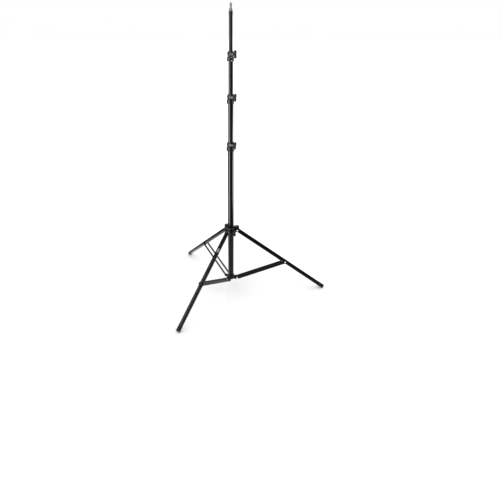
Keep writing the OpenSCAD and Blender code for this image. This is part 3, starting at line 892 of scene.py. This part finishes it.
def make_stud():
    """Turned stud: foot in the tube, flange, grooved pin, and a screw thread that tapers in and out."""
    base, tip, bottom = MAST_TOP + FIT_GAP, bounds_mm("spigot")[1].z, bounds_mm("spigot")[0].z
    stud_r, foot_r, flange_r, groove_r, neck_r = mounts["spigot"]["dims"]["r_mm"], 8.7, 10.0, 5.0, 2.7
    line = rounded([(foot_r, bottom), (foot_r, base), (flange_r, base), (flange_r, base + 7.5),
                    (stud_r, base + 7.5), (stud_r, base + 15.5), (groove_r, base + 16.8),
                    (groove_r, base + 29.2), (stud_r, base + 30.5), (stud_r, base + 36.5),
                    (neck_r, base + 36.5)], [0, 0.1, 0.6, 0.8, 0.3, 0.8, 1.2, 1.2, 0.8, 0.9, 0], 4)
    angles = full_turn(56)
    rings = [circle(r, z, angles) for r, z in line]
    start, steps = base + 36.9, 50
    for k in range(steps + 1):
        z = start + (tip - 0.35 - start) * k / steps
        taper = min(1.0, k / 5, (steps - k) / 5)
        ring = []
        for a in angles:
            phase = ((z - start) / THREAD_PITCH - a / (2 * math.pi)) % 1.0
            r = THREAD_R - THREAD_DEPTH * taper * abs(2 * phase - 1)
            r = min(r, THREAD_CORE + (tip - z) * 0.5)
            ring.append(Vector((r * math.cos(a), r * math.sin(a), z)))
        rings.append(ring)
    rings.append(circle(1.9, tip, angles))
    finish_piece(skin(rings), "stud", "riser_1", STUD_STEEL, "steel", "spigot")


def make_mast_cap():
    """Cap ring round the top of the mast, with a groove near its lower edge."""
    inner, outer = 10.0 + FIT_GAP, radius_mm("top_cap")
    groove = outer - 0.35
    line = rounded([(inner, MAST_TOP - 20), (outer, MAST_TOP - 20), (outer, MAST_TOP - 15.5),
                    (groove, MAST_TOP - 15), (groove, MAST_TOP - 13.5), (outer, MAST_TOP - 13),
                    (outer, MAST_TOP), (inner, MAST_TOP)], [0, 0.35, 0.2, 0.2, 0.2, 0.2, 0.7, 0], 3)
    finish_piece(hollow_lathe(line, 64), "mast_cap", "riser_1", PLASTIC, "black_plastic", "top_cap")


make_stud()
make_mast_cap()


# ---------------------------------------------------------------- lighter grey patch on the front leg

def make_light_patch():
    """Thin lighter grey patch on the upper side of the front leg, wrapped to its tube."""
    half_arc, length, at, turn = 24, 30.0, 136.0, 155
    outside = arc(0, 0, LEG_R + 0.12, turn - half_arc, turn + half_arc, 16)
    inside = arc(0, 0, LEG_R - 0.3, turn + half_arc, turn - half_arc, 16)
    rings = [[Vector((x, y, z)) for x, y in outside + inside] for z in (0.0, length)]
    patch = place(skin(rings), along_leg("front", at))
    finish_piece(patch, "leg_front_light_patch", "leg_front", LIGHT_PATCH, "black_plastic")


make_light_patch()


# ---------------------------------------------------------------- floor, light and camera

# Heights here are the Z of a direction, from -1 straight down to 1 straight up.
AMBIENT = 0.08
# heights between which the ceiling fades in, and its strength
CEILING = (0.78, 0.96, 0.3)
# azimuth, half width and fade in degrees, strength, and the heights between which it fades in and out
PANELS = [(-146, 15, 9, 11.0, (-0.43, -0.37), (1.1, 1.2)),
          (-2, 25, 8, 7.5, (-0.38, -0.26), (-0.14, -0.06)),
          (-2, 25, 8, 1.8, (-0.14, -0.06), (0.2, 0.3)),
          (60, 26, 15, 1.3, (-0.43, -0.37), (1.1, 1.2)),
          (148, 35, 30, 1.1, (-1.2, -1.1), (-0.58, -0.46))]
FLOOR_EDGE = (-0.46, -0.38)
FLOOR_GLOW = 1.1
ROOM_LIGHT, FLOOR_TONE, FLOOR_HALF = 1.38, 0.82, 30
VIEW_GAMMA = 0.72
CAMERA_AT = (-0.0148, -3.2188, 1.7613)
CAMERA_LENS, SENSOR_WIDTH = 38.6, 36.0
# degrees: to the right of +Y, down, and round the line of sight
CAMERA_TURNS = (2.508, 24.632, 0.898)


def make_floor():
    """Pale matt floor that gloss doesn't mirror."""
    mesh = bpy.data.meshes.new("floor")
    bm = bmesh.new()
    bmesh.ops.create_grid(bm, x_segments=1, y_segments=1, size=FLOOR_HALF)
    bm.to_mesh(mesh)
    bm.free()
    floor = bpy.data.objects.new("floor", mesh)
    bpy.context.scene.collection.objects.link(floor)
    mat, tree, shader = nodes_of("pale_floor")
    tone = noise(tree, 1.2, 3.0)
    low, high = FLOOR_TONE - 0.01, FLOOR_TONE + 0.01
    tree.links.new(ramp(tree, tone, [(0.3, (low,) * 3), (0.7, (high,) * 3)]), shader.inputs["Base Color"])
    shader.inputs["Roughness"].default_value = 0.9
    shader.inputs["Specular IOR Level"].default_value = 0.1
    floor.data.materials.append(mat)
    floor.visible_glossy = False


def fade(tree, value, start, end, low, high):
    """Smooth step from low at start to high at end."""
    return map_range(tree, value, start, end, low, high, "SMOOTHSTEP")


def combine(tree, operation, a, b):
    """Arithmetic on two values."""
    node = tree.nodes.new("ShaderNodeMath")
    node.operation = operation
    tree.links.new(a, node.inputs[0])
    tree.links.new(b, node.inputs[1])
    return node.outputs[0]


def towards(tree, level, azimuth, core, edge, strength):
    """Glow from one side: full within core degrees of an azimuth, none edge degrees further on."""
    node = tree.nodes.new("ShaderNodeVectorMath")
    node.operation = "DOT_PRODUCT"
    tree.links.new(level, node.inputs[0])
    node.inputs[1].default_value = unit(azimuth)
    full, none = math.cos(math.radians(core)), math.cos(math.radians(core + edge))
    return fade(tree, node.outputs["Value"], none, full, 0, strength)


def make_world():
    """White to the camera, even light on matt surfaces. Gloss mirrors a ceiling, panels and a lit floor."""
    world = bpy.data.worlds.new("studio")
    world.use_nodes = True
    tree = world.node_tree
    coord = tree.nodes.new("ShaderNodeTexCoord")
    split = tree.nodes.new("ShaderNodeSeparateXYZ")
    flat = tree.nodes.new("ShaderNodeCombineXYZ")
    level = tree.nodes.new("ShaderNodeVectorMath")
    level.operation = "NORMALIZE"
    tree.links.new(coord.outputs["Generated"], split.inputs[0])
    tree.links.new(split.outputs["X"], flat.inputs["X"])
    tree.links.new(split.outputs["Y"], flat.inputs["Y"])
    tree.links.new(flat.outputs[0], level.inputs[0])
    height, side = split.outputs["Z"], level.outputs[0]
    glow = fade(tree, height, CEILING[0], CEILING[1], AMBIENT, CEILING[2])
    for azimuth, core, edge, strength, foot, top in PANELS:
        panel = towards(tree, side, azimuth, core, edge, strength)
        panel = combine(tree, "MULTIPLY", panel, fade(tree, height, *foot, 0, 1))
        panel = combine(tree, "MULTIPLY", panel, fade(tree, height, *top, 1, 0))
        glow = combine(tree, "ADD", glow, panel)
    glow = combine(tree, "ADD", glow, fade(tree, height, *FLOOR_EDGE, FLOOR_GLOW, 0))
    path = tree.nodes.new("ShaderNodeLightPath")
    for ray, strength in (("Is Diffuse Ray", ROOM_LIGHT), ("Is Camera Ray", 1.0)):
        shown = tree.nodes.new("ShaderNodeMix")
        tree.links.new(path.outputs[ray], shown.inputs["Factor"])
        tree.links.new(glow, shown.inputs["A"])
        shown.inputs["B"].default_value = strength
        glow = shown.outputs["Result"]
    background = tree.nodes["Background"]
    background.inputs["Color"].default_value = (1, 1, 1, 1)
    tree.links.new(glow, background.inputs["Strength"])
    world.cycles.sampling_method = "NONE"
    bpy.context.scene.world = world


make_floor()
make_world()
bpy.context.scene.view_settings.view_transform = "Standard"
bpy.context.scene.view_settings.gamma = VIEW_GAMMA


def make_camera():
    """Close camera at eye height, looking down at the tripod; it has the photograph's slight roll."""
    yaw, pitch, roll = (math.radians(v) for v in CAMERA_TURNS)
    forward = Vector((math.sin(yaw) * math.cos(pitch), math.cos(yaw) * math.cos(pitch), -math.sin(pitch)))
    right = Vector((math.cos(yaw), -math.sin(yaw), 0))
    up = right.cross(forward)
    level_right, level_up = right, up
    right = level_right * math.cos(roll) + level_up * math.sin(roll)
    up = level_up * math.cos(roll) - level_right * math.sin(roll)
    data = bpy.data.cameras.new("camera")
    data.lens, data.sensor_width = CAMERA_LENS, SENSOR_WIDTH
    camera = bpy.data.objects.new("camera", data)
    camera.matrix_world = Matrix((right, up, -forward)).transposed().to_4x4()
    camera.location = CAMERA_AT
    bpy.context.scene.collection.objects.link(camera)
    bpy.context.scene.camera = camera


make_camera()
